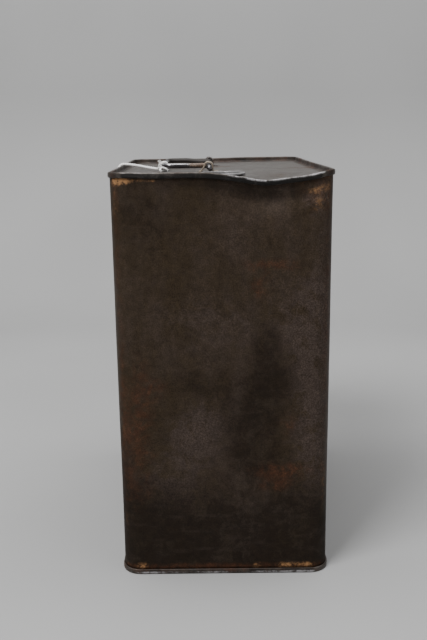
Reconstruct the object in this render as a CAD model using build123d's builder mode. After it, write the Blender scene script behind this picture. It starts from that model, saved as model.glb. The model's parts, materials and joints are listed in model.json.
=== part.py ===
"""A rectangular gallon oil tin: seamed tinplate body, push-in filler closure, folding wire bail, tied string.

Millimetres, +Z up. X is the narrow side, Y the deep side with the filler end at -Y. The origin is the middle
of the footprint, on the surface that the tin stands on.
"""

import math
import os

from build123d import *

# The tin
BODY_WIDTH = 117.0  # X, over the outside of the wall
BODY_DEPTH = 183.0  # Y, over the outside of the wall
HEIGHT = 227.0  # over both double seams
CORNER_RADIUS = 10.0
SHEET = 0.3  # tinplate
LAYER_GAP = 0.04  # between folded layers of sheet

# The double seams, which roll the end plates' edges and the body's flanges together
SEAM_HEIGHT = 3.0
RECESS = 3.0  # from the top of a seam down to the face of the panel
COVER_HOOK_END = 1.1  # how far the cover hook stops below the top of the seam
HOOK_CLEARANCE = 0.35
COMPOUND_CLEARANCE = 0.02

# The locked side seam, in the middle of the back wall
LOCK_HALF_WIDTH = 2.5
LOCK_GROOVE = 0.4
LOCK_END_MARGIN = 8.0  # the lock stops this far from each end, where the sheet is a plain lap
LOCK_WINDOW_DEPTH = 0.45  # cut through the wall where the lock replaces it
SOLDER_BEAD_WIDTH = 2.4
SOLDER_BEAD_PROUD = 0.2

# The filler closure
NECK_Y = -67.5
NECK_BORE_RADIUS = 11.0
NECK_FLANGE_RADIUS = 13.5
NECK_LIP_RADIUS = 12.0
NECK_RISE = 1.2  # the lip's top above the panel
NECK_DROP = 9.0  # the sleeve's end below the panel
NECK_SOLDER_RUN = 0.75
PLUG_FIT = 0.08
PLUG_RADIUS = 13.0
PLUG_DEPTH = 2.6
PLUG_TOP = 1.95  # above the panel
PLUG_SKIRT_DROP = 0.95
LINER_CLEARANCE = 0.02

# The bail, its two lugs, and the height of its axis above the panel
WIRE_RADIUS = 1.5
BAIL_AXIS_X = -7.0
BAIL_AXIS_RISE = 3.4
BAIL_REACH = 27.0  # from the axis to the grip
FRONT_LUG_Y = -27.5
REAR_LUG_Y = 38.5
ARM_INSET = 8.0  # from a lug's middle to the arm beside it
GRIP_BEND = 5.0
TRUNNION_BEND = 3.0
TIP_BEND = 2.0
TIP_START = 6.7  # from a lug's middle to where the wire's tip is cranked
TIP_LENGTH = 1.6
TIP_SIDE = 1.1
TIP_DROP = 1.9

LUG_WIDTH = 11.0  # along the axis
LUG_SHEET = 0.8  # tinplate folded double and flattened
LUG_FIT = 0.4
LUG_FOOT = 3.0
LUG_SOLDER_RUN = 1.2

# The string
STRING_DIAMETER = 1.5
STRING_START_GAP = 0.45  # from the knot on the bail, which moves with the bail
KNOT_RADIUS = 2.9
KNOT_LENGTH = 4.0  # along the grip
KNOT_ROUNDING = 0.87
KNOT_BORE_CLEARANCE = 0.02
KNOT_BEND_GAP = 0.2  # from where the grip's bend ends
KNOT_SIDE = 0.6  # the knot hangs this far out from the grip's axis
KNOT_DROP = 0.4
END_KNOT_RADIUS = 1.8
END_KNOT_ROUNDING = 0.9
BEND_SHARE = 0.45  # of a corner's shorter run, taken up by its arc

top_panel = HEIGHT - RECESS
bail_axis_z = top_panel + BAIL_AXIS_RISE
front_arm_y = FRONT_LUG_Y + ARM_INSET
rear_arm_y = REAR_LUG_Y - ARM_INSET
grip_x = BAIL_AXIS_X - BAIL_REACH
pitch = SHEET + LAYER_GAP
seam_out = 3 * pitch  # how far a double seam stands out from the wall
back_y = BODY_DEPTH / 2

knot_x = grip_x - KNOT_SIDE
knot_y = front_arm_y + GRIP_BEND + KNOT_BEND_GAP + KNOT_LENGTH / 2
knot_z = bail_axis_z - KNOT_DROP

# The string's route: from the knot, over the left rim, and down beside the wall
string_route = [
    (knot_x - KNOT_RADIUS - STRING_START_GAP, knot_y, knot_z),
    (-46.5, -12.9, HEIGHT + 2.4),
    (-54.6, -13.6, HEIGHT + 6.6),
    (-63.6, -14.3, HEIGHT + 6.0),
    (-66.6, -14.9, HEIGHT - 3.0),
    (-64.7, -14.3, HEIGHT - 18.0),
    (-63.6, -13.6, HEIGHT - 40.0),
    (-63.0, -14.4, HEIGHT - 66.0),
    (-63.6, -15.2, HEIGHT - 92.0),
    (-63.1, -14.6, HEIGHT - 117.0),
]


def face_outline(offset, mode=Mode.ADD):
    """The tin's plan, grown by offset from the outside of the wall, in the sketch that is open."""
    RectangleRounded(BODY_WIDTH + 2 * offset, BODY_DEPTH + 2 * offset, CORNER_RADIUS + offset, mode=mode)


def ring(low, high, inner, outer):
    """A closed band of the tin's plan between two offsets from the wall, in the part that is open."""
    with BuildSketch(Plane.XY.offset(low)) as band:
        face_outline(outer)
        face_outline(inner, Mode.SUBTRACT)
    extrude(band.sketch, amount=high - low)


def end_ring(at_top, near, far, inner, outer):
    """A ring whose ends are given as distances inwards from the top or the bottom of the tin."""
    if at_top:
        ring(HEIGHT - far, HEIGHT - near, inner, outer)
    else:
        ring(near, far, inner, outer)


def save(piece, name):
    piece.part.label = name
    export_step(piece.part, f"parts/{name}.step")


def make_body_sheet():
    """The sleeve: wall, flange and body hook at both ends, and the lock of the side seam in the back wall."""
    low, high = LOCK_END_MARGIN, HEIGHT - LOCK_END_MARGIN
    window = LOCK_HALF_WIDTH + LOCK_GROOVE
    with BuildPart() as body:
        for at_top in (True, False):
            end_ring(at_top, pitch, LOCK_END_MARGIN, -SHEET, 0)
            end_ring(at_top, pitch, pitch + SHEET, -SHEET, pitch + LAYER_GAP + SHEET)
            end_ring(at_top, pitch, SEAM_HEIGHT - HOOK_CLEARANCE - SHEET, pitch + LAYER_GAP, 2 * pitch)
        with BuildSketch(Plane.XY.offset(low)):
            face_outline(0)
            face_outline(-SHEET, Mode.SUBTRACT)
            with Locations((0, back_y - SHEET / 2)):
                Rectangle(2 * window, LOCK_WINDOW_DEPTH, mode=Mode.SUBTRACT)
            # (left, right, outermost layer, innermost layer), counted inwards from the outside of the wall
            for left, right, first, last in (
                (-window, LOCK_HALF_WIDTH, 0, 0),
                (LOCK_HALF_WIDTH - SHEET, LOCK_HALF_WIDTH, 0, 2),
                (-LOCK_HALF_WIDTH + pitch, LOCK_HALF_WIDTH, 2, 2),
                (-LOCK_HALF_WIDTH, LOCK_HALF_WIDTH - pitch, 1, 1),
                (-LOCK_HALF_WIDTH, -LOCK_HALF_WIDTH + SHEET, 1, 3),
                (-LOCK_HALF_WIDTH, window + SHEET, 3, 3),
                (window, window + SHEET, 0, 3),
            ):
                outside = back_y - first * pitch
                inside = back_y - last * pitch - SHEET
                with Locations(((left + right) / 2, (outside + inside) / 2)):
                    Rectangle(right - left, outside - inside)
        extrude(amount=high - low)
    save(body, "body_sheet")


def make_side_seam_solder():
    """Solder that fills the groove beside the lock and stands a little proud of the wall."""
    groove_x = LOCK_HALF_WIDTH + LOCK_GROOVE / 2
    with BuildPart() as solder:
        with BuildSketch(Plane.XY.offset(LOCK_END_MARGIN)):
            with Locations((groove_x, back_y - SHEET)):
                Rectangle(LOCK_GROOVE, 2 * SHEET)
            with Locations((groove_x, back_y + SOLDER_BEAD_PROUD / 2)):
                Rectangle(SOLDER_BEAD_WIDTH, SOLDER_BEAD_PROUD)
        extrude(amount=HEIGHT - 2 * LOCK_END_MARGIN)
    save(solder, "side_seam_solder")


def end_plate_rings(at_top):
    """The panel and its edge: chuck wall, seam top, outer wall and cover hook."""
    chuck_out = -pitch
    hook_in = LAYER_GAP
    with BuildSketch(Plane.XY.offset(top_panel - SHEET if at_top else RECESS)) as panel:
        face_outline(chuck_out)
    extrude(panel.sketch, amount=SHEET)
    end_ring(at_top, 0, RECESS + SHEET, chuck_out - SHEET, chuck_out)
    end_ring(at_top, 0, SHEET, chuck_out - SHEET, seam_out)
    end_ring(at_top, 0, SEAM_HEIGHT, seam_out - SHEET, seam_out)
    end_ring(at_top, SEAM_HEIGHT - SHEET, SEAM_HEIGHT, hook_in, seam_out)
    end_ring(at_top, COVER_HOOK_END, SEAM_HEIGHT, hook_in, hook_in + SHEET)


def make_end_plates():
    with BuildPart() as top_plate:
        end_plate_rings(True)
        with BuildSketch(Plane.XY.offset(top_panel - SHEET)):
            with Locations((0, NECK_Y)):
                Circle(NECK_BORE_RADIUS + SHEET)
        extrude(amount=SHEET, mode=Mode.SUBTRACT)
    save(top_plate, "top_plate")
    with BuildPart() as bottom_plate:
        end_plate_rings(False)
    save(bottom_plate, "bottom_plate")


def make_seam_compounds():
    for at_top, name in ((True, "top_seam_compound"), (False, "bottom_seam_compound")):
        with BuildPart() as compound:
            near = pitch + SHEET + COMPOUND_CLEARANCE
            far = COVER_HOOK_END - COMPOUND_CLEARANCE
            end_ring(at_top, near, far, LAYER_GAP, LAYER_GAP + SHEET)
        save(compound, name)


def revolved(profile):
    """A round piece on the filler's axis, from (radius, height above the panel) points, in the open part."""
    with BuildSketch(Plane.XZ.offset(-NECK_Y)) as section:
        with BuildLine():
            Polyline([(r, top_panel + z) for r, z in profile], close=True)
        make_face()
    revolve(section.sketch, axis=Axis((0, NECK_Y, 0), (0, 0, 1)))


def make_filler():
    bore = NECK_BORE_RADIUS
    sleeve = bore + SHEET
    lip_under = NECK_RISE - SHEET
    with BuildPart() as neck:
        revolved(
            [
                (bore, -NECK_DROP),
                (sleeve, -NECK_DROP),
                (sleeve, 0),
                (NECK_FLANGE_RADIUS, 0),
                (NECK_FLANGE_RADIUS, SHEET),
                (sleeve, SHEET),
                (sleeve, lip_under),
                (NECK_LIP_RADIUS, lip_under),
                (NECK_LIP_RADIUS, NECK_RISE),
                (bore, NECK_RISE),
            ]
        )
    save(neck, "filler_neck")

    solder_out = NECK_FLANGE_RADIUS + NECK_SOLDER_RUN
    with BuildPart() as solder:
        revolved([(NECK_FLANGE_RADIUS, 0), (solder_out, 0), (NECK_FLANGE_RADIUS, SHEET)])
    save(solder, "neck_solder")

    wall_out = bore - PLUG_FIT
    wall_in = wall_out - SHEET
    with BuildPart() as plug:
        revolved(
            [
                (0, -PLUG_DEPTH),
                (wall_out, -PLUG_DEPTH),
                (wall_out, PLUG_TOP - SHEET),
                (PLUG_RADIUS - SHEET, PLUG_TOP - SHEET),
                (PLUG_RADIUS - SHEET, PLUG_TOP - PLUG_SKIRT_DROP),
                (PLUG_RADIUS, PLUG_TOP - PLUG_SKIRT_DROP),
                (PLUG_RADIUS, PLUG_TOP),
                (wall_in, PLUG_TOP),
                (wall_in, SHEET - PLUG_DEPTH),
                (0, SHEET - PLUG_DEPTH),
            ]
        )
    save(plug, "filler_plug")

    low, high = NECK_RISE + LINER_CLEARANCE, PLUG_TOP - SHEET - LINER_CLEARANCE
    inner, outer = bore + LINER_CLEARANCE, NECK_LIP_RADIUS
    with BuildPart() as liner:
        revolved([(inner, low), (outer, low), (outer, high), (inner, high)])
    save(liner, "plug_liner")


def make_lug(lug_y, name):
    """A strap bent over the wire, with two feet on the panel, and the solder at the feet's ends."""
    inner = WIRE_RADIUS + LUG_FIT
    outer = inner + LUG_SHEET
    foot_end = outer + LUG_FOOT
    plane = Plane.XZ.offset(-(lug_y + LUG_WIDTH / 2))
    with BuildPart() as lug:
        with BuildSketch(plane):
            with Locations((BAIL_AXIS_X, bail_axis_z)):
                Circle(outer)
            with Locations((BAIL_AXIS_X, top_panel + BAIL_AXIS_RISE / 2)):
                Rectangle(2 * outer, BAIL_AXIS_RISE)
            with Locations((BAIL_AXIS_X, top_panel + LUG_SHEET / 2)):
                Rectangle(2 * foot_end, LUG_SHEET)
            with Locations((BAIL_AXIS_X, bail_axis_z)):
                Circle(inner, mode=Mode.SUBTRACT)
            with Locations((BAIL_AXIS_X, top_panel + BAIL_AXIS_RISE / 2)):
                Rectangle(2 * inner, BAIL_AXIS_RISE, mode=Mode.SUBTRACT)
        extrude(amount=LUG_WIDTH)
    save(lug, name)

    with BuildPart() as solder:
        with BuildSketch(plane):
            for side in (-1, 1):
                with BuildLine():
                    near = BAIL_AXIS_X + side * foot_end
                    far = near + side * LUG_SOLDER_RUN
                    Polyline((near, top_panel), (far, top_panel), (near, top_panel + LUG_SHEET), close=True)
                make_face()
        extrude(amount=LUG_WIDTH)
    save(solder, f"{name}_solder")


def make_bail():
    """One length of wire: cranked tip, trunnion, arm, grip, arm, trunnion, cranked tip."""
    tip_x, tip_z = BAIL_AXIS_X + TIP_SIDE, bail_axis_z - TIP_DROP
    tip_start, tip_end = TIP_START, TIP_START + TIP_LENGTH
    with BuildPart() as bail:
        with BuildLine() as route:
            FilletPolyline(
                (tip_x, FRONT_LUG_Y - tip_end, tip_z),
                (BAIL_AXIS_X, FRONT_LUG_Y - tip_start, bail_axis_z),
                (BAIL_AXIS_X, front_arm_y, bail_axis_z),
                (grip_x, front_arm_y, bail_axis_z),
                (grip_x, rear_arm_y, bail_axis_z),
                (BAIL_AXIS_X, rear_arm_y, bail_axis_z),
                (BAIL_AXIS_X, REAR_LUG_Y + tip_start, bail_axis_z),
                (tip_x, REAR_LUG_Y + tip_end, tip_z),
                radius=[TIP_BEND, TRUNNION_BEND, GRIP_BEND, GRIP_BEND, TRUNNION_BEND, TIP_BEND],
            )
        with BuildSketch(Plane(origin=route.line @ 0, z_dir=route.line % 0)):
            Circle(WIRE_RADIUS)
        sweep(path=route.line)
    save(bail, "bail_wire")


def corner_radii(points):
    """The radius of each corner's arc, so that the arc takes up its share of the shorter run."""
    radii = []
    for before, at, after in zip(points, points[1:], points[2:]):
        into, out = Vector(at) - Vector(before), Vector(after) - Vector(at)
        half_turn = math.radians(into.get_angle(out)) / 2
        radii.append(BEND_SHARE * min(into.length, out.length) / math.tan(half_turn))
    return radii


def make_string():
    """The string, from its knot on the bail, over the rim and down the left side."""
    with BuildPart() as string:
        with BuildLine() as route:
            FilletPolyline(*string_route, radius=corner_radii(string_route))
        with BuildSketch(Plane(origin=route.line @ 0, z_dir=route.line % 0)):
            Circle(STRING_DIAMETER / 2)
        sweep(path=route.line)
    save(string, "hanging_string")


def make_bail_knot():
    """The knot round the grip, which the wire passes through."""
    plane = Plane.XZ.offset(KNOT_LENGTH / 2 - knot_y)
    with BuildPart() as knot:
        with BuildSketch(plane):
            with Locations((knot_x, knot_z)):
                Circle(KNOT_RADIUS)
        extrude(amount=-KNOT_LENGTH)
        fillet(knot.edges(), KNOT_ROUNDING)
        with BuildSketch(plane):
            with Locations((grip_x, bail_axis_z)):
                Circle(WIRE_RADIUS + KNOT_BORE_CLEARANCE)
        extrude(amount=-KNOT_LENGTH, mode=Mode.SUBTRACT)
    save(knot, "bail_knot")


def make_end_knot():
    end = Vector(string_route[-1])
    down = (end - Vector(string_route[-2])).normalized()
    with BuildPart() as knot:
        with BuildSketch(Plane(origin=end, z_dir=down)):
            Circle(END_KNOT_RADIUS)
        extrude(amount=2 * END_KNOT_RADIUS)
        fillet(knot.edges(), END_KNOT_ROUNDING)
    save(knot, "string_end_knot")


def main():
    os.makedirs("parts", exist_ok=True)
    make_body_sheet()
    make_side_seam_solder()
    make_end_plates()
    make_seam_compounds()
    make_filler()
    make_lug(FRONT_LUG_Y, "front_lug")
    make_lug(REAR_LUG_Y, "rear_lug")
    make_bail()
    make_string()
    make_bail_knot()
    make_end_knot()


main()
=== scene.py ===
"""The looks of a rectangular gallon oil tin: dented tinplate, wire bail, push-in plug and a tied string."""

import json
import math

import bmesh
import bpy
from mathutils import Matrix, Vector, noise


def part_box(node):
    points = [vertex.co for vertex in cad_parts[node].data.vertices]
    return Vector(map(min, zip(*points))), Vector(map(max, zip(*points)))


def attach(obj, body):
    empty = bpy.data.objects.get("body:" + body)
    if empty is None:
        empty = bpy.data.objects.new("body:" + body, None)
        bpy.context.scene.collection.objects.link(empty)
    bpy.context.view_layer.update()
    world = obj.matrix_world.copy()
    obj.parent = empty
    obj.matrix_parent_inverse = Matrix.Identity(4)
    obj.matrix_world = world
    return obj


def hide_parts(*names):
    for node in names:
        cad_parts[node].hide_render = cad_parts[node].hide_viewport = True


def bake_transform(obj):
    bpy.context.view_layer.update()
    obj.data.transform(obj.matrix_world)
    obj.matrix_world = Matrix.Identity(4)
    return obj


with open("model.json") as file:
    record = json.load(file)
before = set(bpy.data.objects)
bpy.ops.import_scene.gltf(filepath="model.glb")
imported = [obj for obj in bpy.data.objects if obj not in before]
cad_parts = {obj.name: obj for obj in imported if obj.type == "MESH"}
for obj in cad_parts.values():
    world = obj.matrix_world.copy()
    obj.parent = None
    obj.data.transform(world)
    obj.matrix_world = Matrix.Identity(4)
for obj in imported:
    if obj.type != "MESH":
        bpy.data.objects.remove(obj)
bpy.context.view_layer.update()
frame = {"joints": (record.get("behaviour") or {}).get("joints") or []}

MM = 0.001

# ---- Sizes taken from the frame ----
TOP_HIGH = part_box("top_plate")[1]
SEAM_OUT = 1.02 * MM  # how far a double seam stands out from the wall
HALF_X = TOP_HIGH[0] - SEAM_OUT
HALF_Y = TOP_HIGH[1] - SEAM_OUT
HEIGHT = TOP_HIGH[2]
RECESS = 3.0 * MM
PANEL_Z = HEIGHT - RECESS
SHEET = 0.3 * MM
CORNER = 10.0 * MM

NECK_LOW, NECK_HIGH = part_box("filler_neck")
NECK_X = (NECK_LOW[0] + NECK_HIGH[0]) / 2
NECK_Y = (NECK_LOW[1] + NECK_HIGH[1]) / 2
JOINTS = {j["name"]: j for j in frame["joints"]}
AXIS_X, _, AXIS_Z = JOINTS["bail_hinge"]["pos_m"]
WIRE_R = 1.5 * MM


# ---- Small geometry helpers ----
def smooth_step(low, high, value):
    t = min(1.0, max(0.0, (value - low) / (high - low)))
    return t * t * (3 - 2 * t)


def hump(distance, width):
    """A smooth hump, 1 at its middle and small two widths away."""
    return math.exp(-((distance / width) ** 2))


def wobble(point, scale, seed):
    """Smooth noise from -1 to 1 at a point in metres; scale is features per metre."""
    return noise.noise(Vector(point) * scale + Vector((seed * 7.3, seed * 3.1, seed * 5.7)))


class Shape:
    """Vertices and faces gathered from several parts, then made into one object."""

    def __init__(self):
        self.points, self.faces = [], []

    def add(self, points, faces):
        first = len(self.points)
        self.points += [tuple(p) for p in points]
        self.faces += [tuple(first + i for i in f) for f in faces]

    def grid(self, rows, closed_rows=False, closed_columns=False):
        """Quads between rows of points of the same length."""
        n, m = len(rows), len(rows[0])
        faces = []
        for i in range(n if closed_rows else n - 1):
            for j in range(m if closed_columns else m - 1):
                a, b = i * m + j, i * m + (j + 1) % m
                c, d = ((i + 1) % n) * m + (j + 1) % m, ((i + 1) % n) * m + j
                faces.append((a, b, c, d))
        self.add([p for row in rows for p in row], faces)

    def cap(self, row, flip=False):
        """A fan that closes a ring of points."""
        middle = tuple(sum(p[k] for p in row) / len(row) for k in range(3))
        n = len(row)
        faces = [(i, (i + 1) % n, n) for i in range(n)]
        if flip:
            faces = [f[::-1] for f in faces]
        self.add(list(row) + [middle], faces)

    def make(self, name, material, merge=1e-6):
        mesh = bpy.data.meshes.new(name)
        mesh.from_pydata(self.points, [], self.faces)
        obj = bpy.data.objects.new(name, mesh)
        bpy.context.scene.collection.objects.link(obj)
        work = bmesh.new()
        work.from_mesh(mesh)
        bmesh.ops.remove_doubles(work, verts=work.verts, dist=merge)
        bmesh.ops.recalc_face_normals(work, faces=work.faces)
        for face in work.faces:
            face.smooth = True
        work.to_mesh(mesh)
        work.free()
        mesh.materials.append(material)
        return obj


def frames_along(path):
    """A (side, up) pair of directions at each point of a path, turned as little as possible."""
    ahead = [(path[min(i + 1, len(path) - 1)] - path[max(i - 1, 0)]).normalized() for i in range(len(path))]
    side = ahead[0].orthogonal().normalized()
    found = []
    for direction in ahead:
        side = (side - direction * side.dot(direction)).normalized()
        found.append((side, direction.cross(side)))
    return found


def add_tube(shape, path, radii, sides, squeeze=None):
    """A closed tube along a path, with a radius for each point; squeeze flattens it likewise."""
    flat = squeeze or [1.0] * len(path)
    rows = []
    for point, (side, up), r, f in zip(path, frames_along(path), radii, flat):
        ring = []
        for k in range(sides):
            a = 2 * math.pi * k / sides
            ring.append(point + side * (math.cos(a) * r * f) + up * (math.sin(a) * r))
        rows.append(ring)
    shape.grid(rows, closed_columns=True)
    shape.cap(rows[0], flip=True)
    shape.cap(rows[-1])


def rounded_path(points, radii, step):
    """Straight runs joined by arcs, as points about step apart."""
    points = [Vector(p) for p in points]
    out = [points[0]]
    for before, at, after, radius in zip(points, points[1:], points[2:], radii):
        into, away = (before - at).normalized(), (after - at).normalized()
        half = into.angle(away) / 2
        reach = radius / math.tan(half)
        centre = at + (into + away).normalized() * (radius / math.sin(half))
        start, end = at + into * reach, at + away * reach
        turn = math.pi - 2 * half
        count = max(3, round(radius * turn / step))
        for k in range(count + 1):
            t = k / count
            a, b = start - centre, end - centre
            out.append(centre + (a * math.sin((1 - t) * turn) + b * math.sin(t * turn)) / math.sin(turn))
    out.append(points[-1])
    fine = [out[0]]
    for a, b in zip(out, out[1:]):
        count = max(1, round((b - a).length / step))
        fine += [a.lerp(b, (k + 1) / count) for k in range(count)]
    return fine


def modifier(obj, kind, **settings):
    m = obj.modifiers.new(kind.title(), kind)
    for key, value in settings.items():
        setattr(m, key, value)


# ---- The tin's plan, and what age has done to its shape ----
def plan_points(spacing):
    """(x, y, outward x, outward y) round the wall, anticlockwise from the middle of the front."""
    flat_x, flat_y = HALF_X - CORNER, HALF_Y - CORNER
    runs = [
        ((0, -HALF_Y), (flat_x, -HALF_Y), (0, -1)),
        ((HALF_X, -flat_y), (HALF_X, flat_y), (1, 0)),
        ((flat_x, HALF_Y), (-flat_x, HALF_Y), (0, 1)),
        ((-HALF_X, flat_y), (-HALF_X, -flat_y), (-1, 0)),
        ((-flat_x, -HALF_Y), (0, -HALF_Y), (0, -1)),
    ]
    corners = [(flat_x, -flat_y, -90), (flat_x, flat_y, 0), (-flat_x, flat_y, 90), (-flat_x, -flat_y, 180)]
    arc_steps = 12
    found = []
    for index, (start, end, out) in enumerate(runs):
        length = math.dist(start, end)
        count = max(2, round(length / spacing))
        for k in range(count):
            t = k / count
            found.append((start[0] + (end[0] - start[0]) * t, start[1] + (end[1] - start[1]) * t, *out))
        if index < len(corners):
            cx, cy, degrees = corners[index]
            for k in range(arc_steps):
                a = math.radians(degrees + 90 * k / arc_steps)
                out_x, out_y = math.cos(a), math.sin(a)
                found.append((cx + CORNER * out_x, cy + CORNER * out_y, out_x, out_y))
    return found


CREASE_X = 21.5 * MM  # where the knock on the front edge is deepest
CREASE_LEFT, CREASE_RIGHT = -11.0 * MM, 54.0 * MM
CREASE_DROP = 4.7 * MM
CREASE_TUCK = 3.4 * MM
RACK = 3.4 * MM  # how far the top's back has been pushed to the left


def crease(x):
    """How deep the knock is across the front, from 0 to 1: a slow slope, a sharp fold, a straight rise."""
    if x <= CREASE_X:
        t = max(0.0, (x - CREASE_LEFT) / (CREASE_X - CREASE_LEFT))
        depth = t**1.5
    else:
        t = max(0.0, (CREASE_RIGHT - x) / (CREASE_RIGHT - CREASE_X))
        depth = t**0.8
    return depth - 0.05 * hump(x - CREASE_X, 1.6 * MM)


def aged(point):
    """A point of the new tin moved to where the knocked and buckled tin has it."""
    x, y, z = point
    behind = y + HALF_Y  # distance behind the front wall
    at_back = behind / (2 * HALF_Y)  # 0 at the front wall, 1 at the back wall
    behind_front = max(0.0, behind)
    across = crease(x)
    to_neck = math.hypot(x - NECK_X, y - NECK_Y)
    spared = smooth_step(14.5 * MM, 23 * MM, to_neck)
    back = hump(behind_front, 27 * MM)
    height = smooth_step(HEIGHT - 40 * MM, HEIGHT - 6 * MM, z)
    drop = CREASE_DROP * across * back * spared * height
    below = HEIGHT - 8 * MM - z
    tuck = CREASE_TUCK * across * hump(below, 9 * MM) * hump(behind, 9 * MM)
    tuck -= 0.3 * MM * across * hump(below - 30 * MM, 15 * MM) * back
    if behind > 2 * MM:
        drop += 0.5 * MM * hump(x - CREASE_X - behind * 0.35, 2.6 * MM) * back * spared * height
    # The panels' own buckles, which the seams and corners hold back
    inside_x = smooth_step(0, 30 * MM, HALF_X - abs(x))
    inside_y = smooth_step(0, 34 * MM, HALF_Y - abs(y))
    inside_z = smooth_step(0, 30 * MM, z) * smooth_step(0, 30 * MM, HEIGHT - z)
    if abs(z - PANEL_Z) < 2.8 * MM:
        free = smooth_step(2 * MM, 24 * MM, HALF_X - abs(x)) * smooth_step(2 * MM, 24 * MM, HALF_Y - abs(y))
        z += 0.45 * MM * wobble((x, y, 0), 24, 4) * free * spared
    on_side = abs(x) > HALF_X - 2 * MM
    on_end = abs(y) > HALF_Y - 2 * MM
    if on_side:
        swell = 1.1 * wobble((0, y, z), 13, 1) + 0.35 * wobble((0, y, z), 42, 2) - 0.5
        x += math.copysign(1, x) * swell * MM * inside_y * inside_z
    if on_end:
        swell = 0.75 * wobble((x, 0, z), 17, 3) + 0.2 * wobble((x, 0, z), 50, 5) - 0.3
        y += math.copysign(1, y) * swell * MM * inside_x * inside_z
    # The knock has sprung the corners and the right side up, and made the front rim wavy
    at_front = hump(behind_front, 20 * MM)
    lift = 0.55 * smooth_step(-12 * MM, 24 * MM, x)
    lift += 0.9 * smooth_step(28 * MM, 56 * MM, abs(x)) * math.exp(-behind_front / (70 * MM))
    lift += 0.65 * hump(x + 22 * MM, 26 * MM) * at_front
    lift -= 0.8 * hump(x - 48 * MM, 11 * MM) * at_front
    z += MM * lift * height
    z += 0.1 * MM * wobble((x, y, 0), 30, 6) * smooth_step(HEIGHT - 5 * MM, HEIGHT, z)
    x -= RACK * at_back * smooth_step(0, HEIGHT, z)
    return (x, y + tuck, z - drop)


def age(obj):
    for vertex in obj.data.vertices:
        vertex.co = aged(vertex.co)


# ---- Material building blocks ----
class Material:
    """A node material, with short calls for the nodes that the tin's finishes use."""

    def __init__(self, name, metallic=0.0, roughness=0.5, **sockets):
        self.made = bpy.data.materials.new(name)
        self.made.use_nodes = True
        self.tree = self.made.node_tree
        self.shader = self.tree.nodes["Principled BSDF"]
        self.shader.inputs["Metallic"].default_value = metallic
        self.shader.inputs["Roughness"].default_value = roughness
        for key, value in sockets.items():
            self.shader.inputs[key.replace("_", " ")].default_value = value
        self.where = self.tree.nodes.new("ShaderNodeTexCoord").outputs["Object"]

    def put(self, socket, value):
        if isinstance(value, bpy.types.NodeSocket):
            self.tree.links.new(value, socket)
        elif isinstance(value, tuple) and len(value) == 3 and len(socket.default_value) == 4:
            socket.default_value = (*value, 1.0)
        else:
            socket.default_value = value

    def stretched(self, x, y, z):
        """The object's coordinates, multiplied along each axis."""
        node = self.tree.nodes.new("ShaderNodeMapping")
        self.put(node.inputs["Vector"], self.where)
        node.inputs["Scale"].default_value = (x, y, z)
        return node.outputs["Vector"]

    def noise(self, scale, detail=4.0, rough=0.55, distortion=0.0, at=None):
        node = self.tree.nodes.new("ShaderNodeTexNoise")
        self.put(node.inputs["Vector"], at or self.where)
        node.inputs["Scale"].default_value = scale
        node.inputs["Detail"].default_value = detail
        node.inputs["Roughness"].default_value = rough
        node.inputs["Distortion"].default_value = distortion
        return node.outputs["Fac"]

    def painted(self, name):
        """A value from 0 to 1 that the mesh holds at its points."""
        node = self.tree.nodes.new("ShaderNodeAttribute")
        node.attribute_name = name
        return node.outputs["Fac"]

    def maths(self, how, a, b):
        node = self.tree.nodes.new("ShaderNodeMath")
        node.operation = how
        self.put(node.inputs[0], a)
        self.put(node.inputs[1], b)
        return node.outputs[0]

    def along_y(self):
        """A point's Y in metres, which grows towards the back."""
        node = self.tree.nodes.new("ShaderNodeSeparateXYZ")
        self.put(node.inputs[0], self.where)
        return node.outputs["Y"]

    def sum(self, a, b):
        return self.maths("ADD", a, b)

    def times(self, a, b):
        return self.maths("MULTIPLY", a, b)

    def between(self, value, low, high, to_low=0.0, to_high=1.0):
        node = self.tree.nodes.new("ShaderNodeMapRange")
        node.interpolation_type = "SMOOTHSTEP"
        self.put(node.inputs["Value"], value)
        node.inputs["From Min"].default_value = low
        node.inputs["From Max"].default_value = high
        node.inputs["To Min"].default_value = to_low
        node.inputs["To Max"].default_value = to_high
        return node.outputs["Result"]

    def mix(self, factor, a, b):
        node = self.tree.nodes.new("ShaderNodeMix")
        node.data_type = "RGBA"
        self.put(node.inputs[0], factor)
        self.put(node.inputs[6], a)
        self.put(node.inputs[7], b)
        return node.outputs[2]

    def ragged(self, mask, grain, amount=1.0):
        """A painted mask with its edge broken up by a noise."""
        uneven = self.times(mask, self.between(grain, 0.3, 0.7, 0.1, 1.7))
        return self.between(uneven, 0.08, 0.9, 0.0, amount)

    def shaded(self, color, value):
        """A colour multiplied by a value."""
        node = self.tree.nodes.new("ShaderNodeMix")
        node.data_type = "RGBA"
        node.blend_type = "MULTIPLY"
        node.inputs[0].default_value = 1.0
        self.put(node.inputs[6], color)
        self.put(node.inputs[7], value)
        return node.outputs[2]

    def bump(self, height, distance, strength=1.0, normal=None):
        node = self.tree.nodes.new("ShaderNodeBump")
        node.inputs["Strength"].default_value = strength
        node.inputs["Distance"].default_value = distance
        self.put(node.inputs["Height"], height)
        if normal:
            self.put(node.inputs["Normal"], normal)
        return node.outputs["Normal"]

    def finish(self, color=None, roughness=None, metallic=None, normal=None):
        for name, value in (
            ("Base Color", color),
            ("Roughness", roughness),
            ("Metallic", metallic),
            ("Normal", normal),
        ):
            if value is not None:
                self.put(self.shader.inputs[name], value)
        return self.made


RUST_DARK = (0.052, 0.022, 0.012)
RUST_BRIGHT = (0.105, 0.043, 0.020)
SCUFF_TAN = (0.36, 0.19, 0.085)
BARE_TIN_AND_HIGHLIGHT = (0.30, 0.29, 0.295)


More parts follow.
